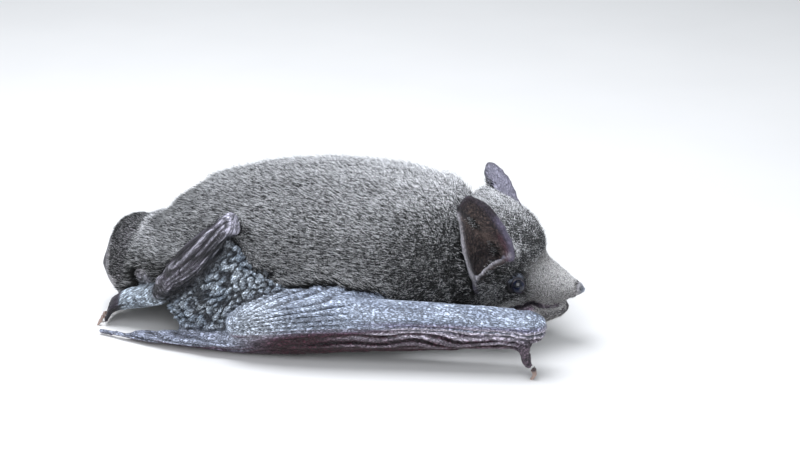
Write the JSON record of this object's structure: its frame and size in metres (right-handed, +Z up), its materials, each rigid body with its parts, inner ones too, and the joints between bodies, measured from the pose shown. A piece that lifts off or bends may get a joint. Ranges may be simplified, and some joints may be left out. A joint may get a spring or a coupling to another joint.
{
  "type": "vesper bat",
  "caption": "Small grey insect-eating bat, resting belly down with its wings folded along its flanks and its head forward.",
  "frame": {"origin": "on the floor, under the middle of the outer box", "axes": "+X towards the nose, +Y to the animal's left, +Z up"},
  "size_m": [0.0522, 0.0269, 0.0178],
  "materials": {
    "coat": "short dense fur, dark at the root and pale grey-beige at the tips",
    "face": "thinly haired grey skin of the lips and nose",
    "ear": "thin dark brown skin",
    "wing": "wrinkled blue-grey wing skin",
    "foot": "wrinkled dark grey skin",
    "claw": "pale translucent horn",
    "eye": "wet black bead"
  },
  "bodies": {
    "root": {"trunk": "coat", "neck": "coat", "head": "coat", "thigh_right": "coat", "thigh_left": "coat", "lower_jaw": "face", "nose_pad": "face", "ear_right": "ear", "ear_left": "ear", "tragus_right": "ear", "tragus_left": "ear", "upper_arm_right": "wing", "forearm_right": "wing", "wrist_right": "wing", "thumb_right": "wing", "finger_3_right": "wing", "finger_4_right": "wing", "finger_5_right": "wing", "wing_fold_right": "wing", "flank_membrane_right": "wing", "upper_arm_left": "wing", "forearm_left": "wing", "wrist_left": "wing", "thumb_left": "wing", "finger_3_left": "wing", "finger_4_left": "wing", "finger_5_left": "wing", "wing_fold_left": "wing", "flank_membrane_left": "wing", "shank_right": "foot", "foot_right": "foot", "shank_left": "foot", "foot_left": "foot", "tail": "foot", "tail_membrane": "foot", "thumb_claw_right": "claw", "thumb_claw_left": "claw", "toe_claw_1_right": "claw", "toe_claw_2_right": "claw", "toe_claw_3_right": "claw", "toe_claw_4_right": "claw", "toe_claw_5_right": "claw", "toe_claw_1_left": "claw", "toe_claw_2_left": "claw", "toe_claw_3_left": "claw", "toe_claw_4_left": "claw", "toe_claw_5_left": "claw", "eye_right": "eye", "eye_left": "eye"}
  },
  "joints": []
}
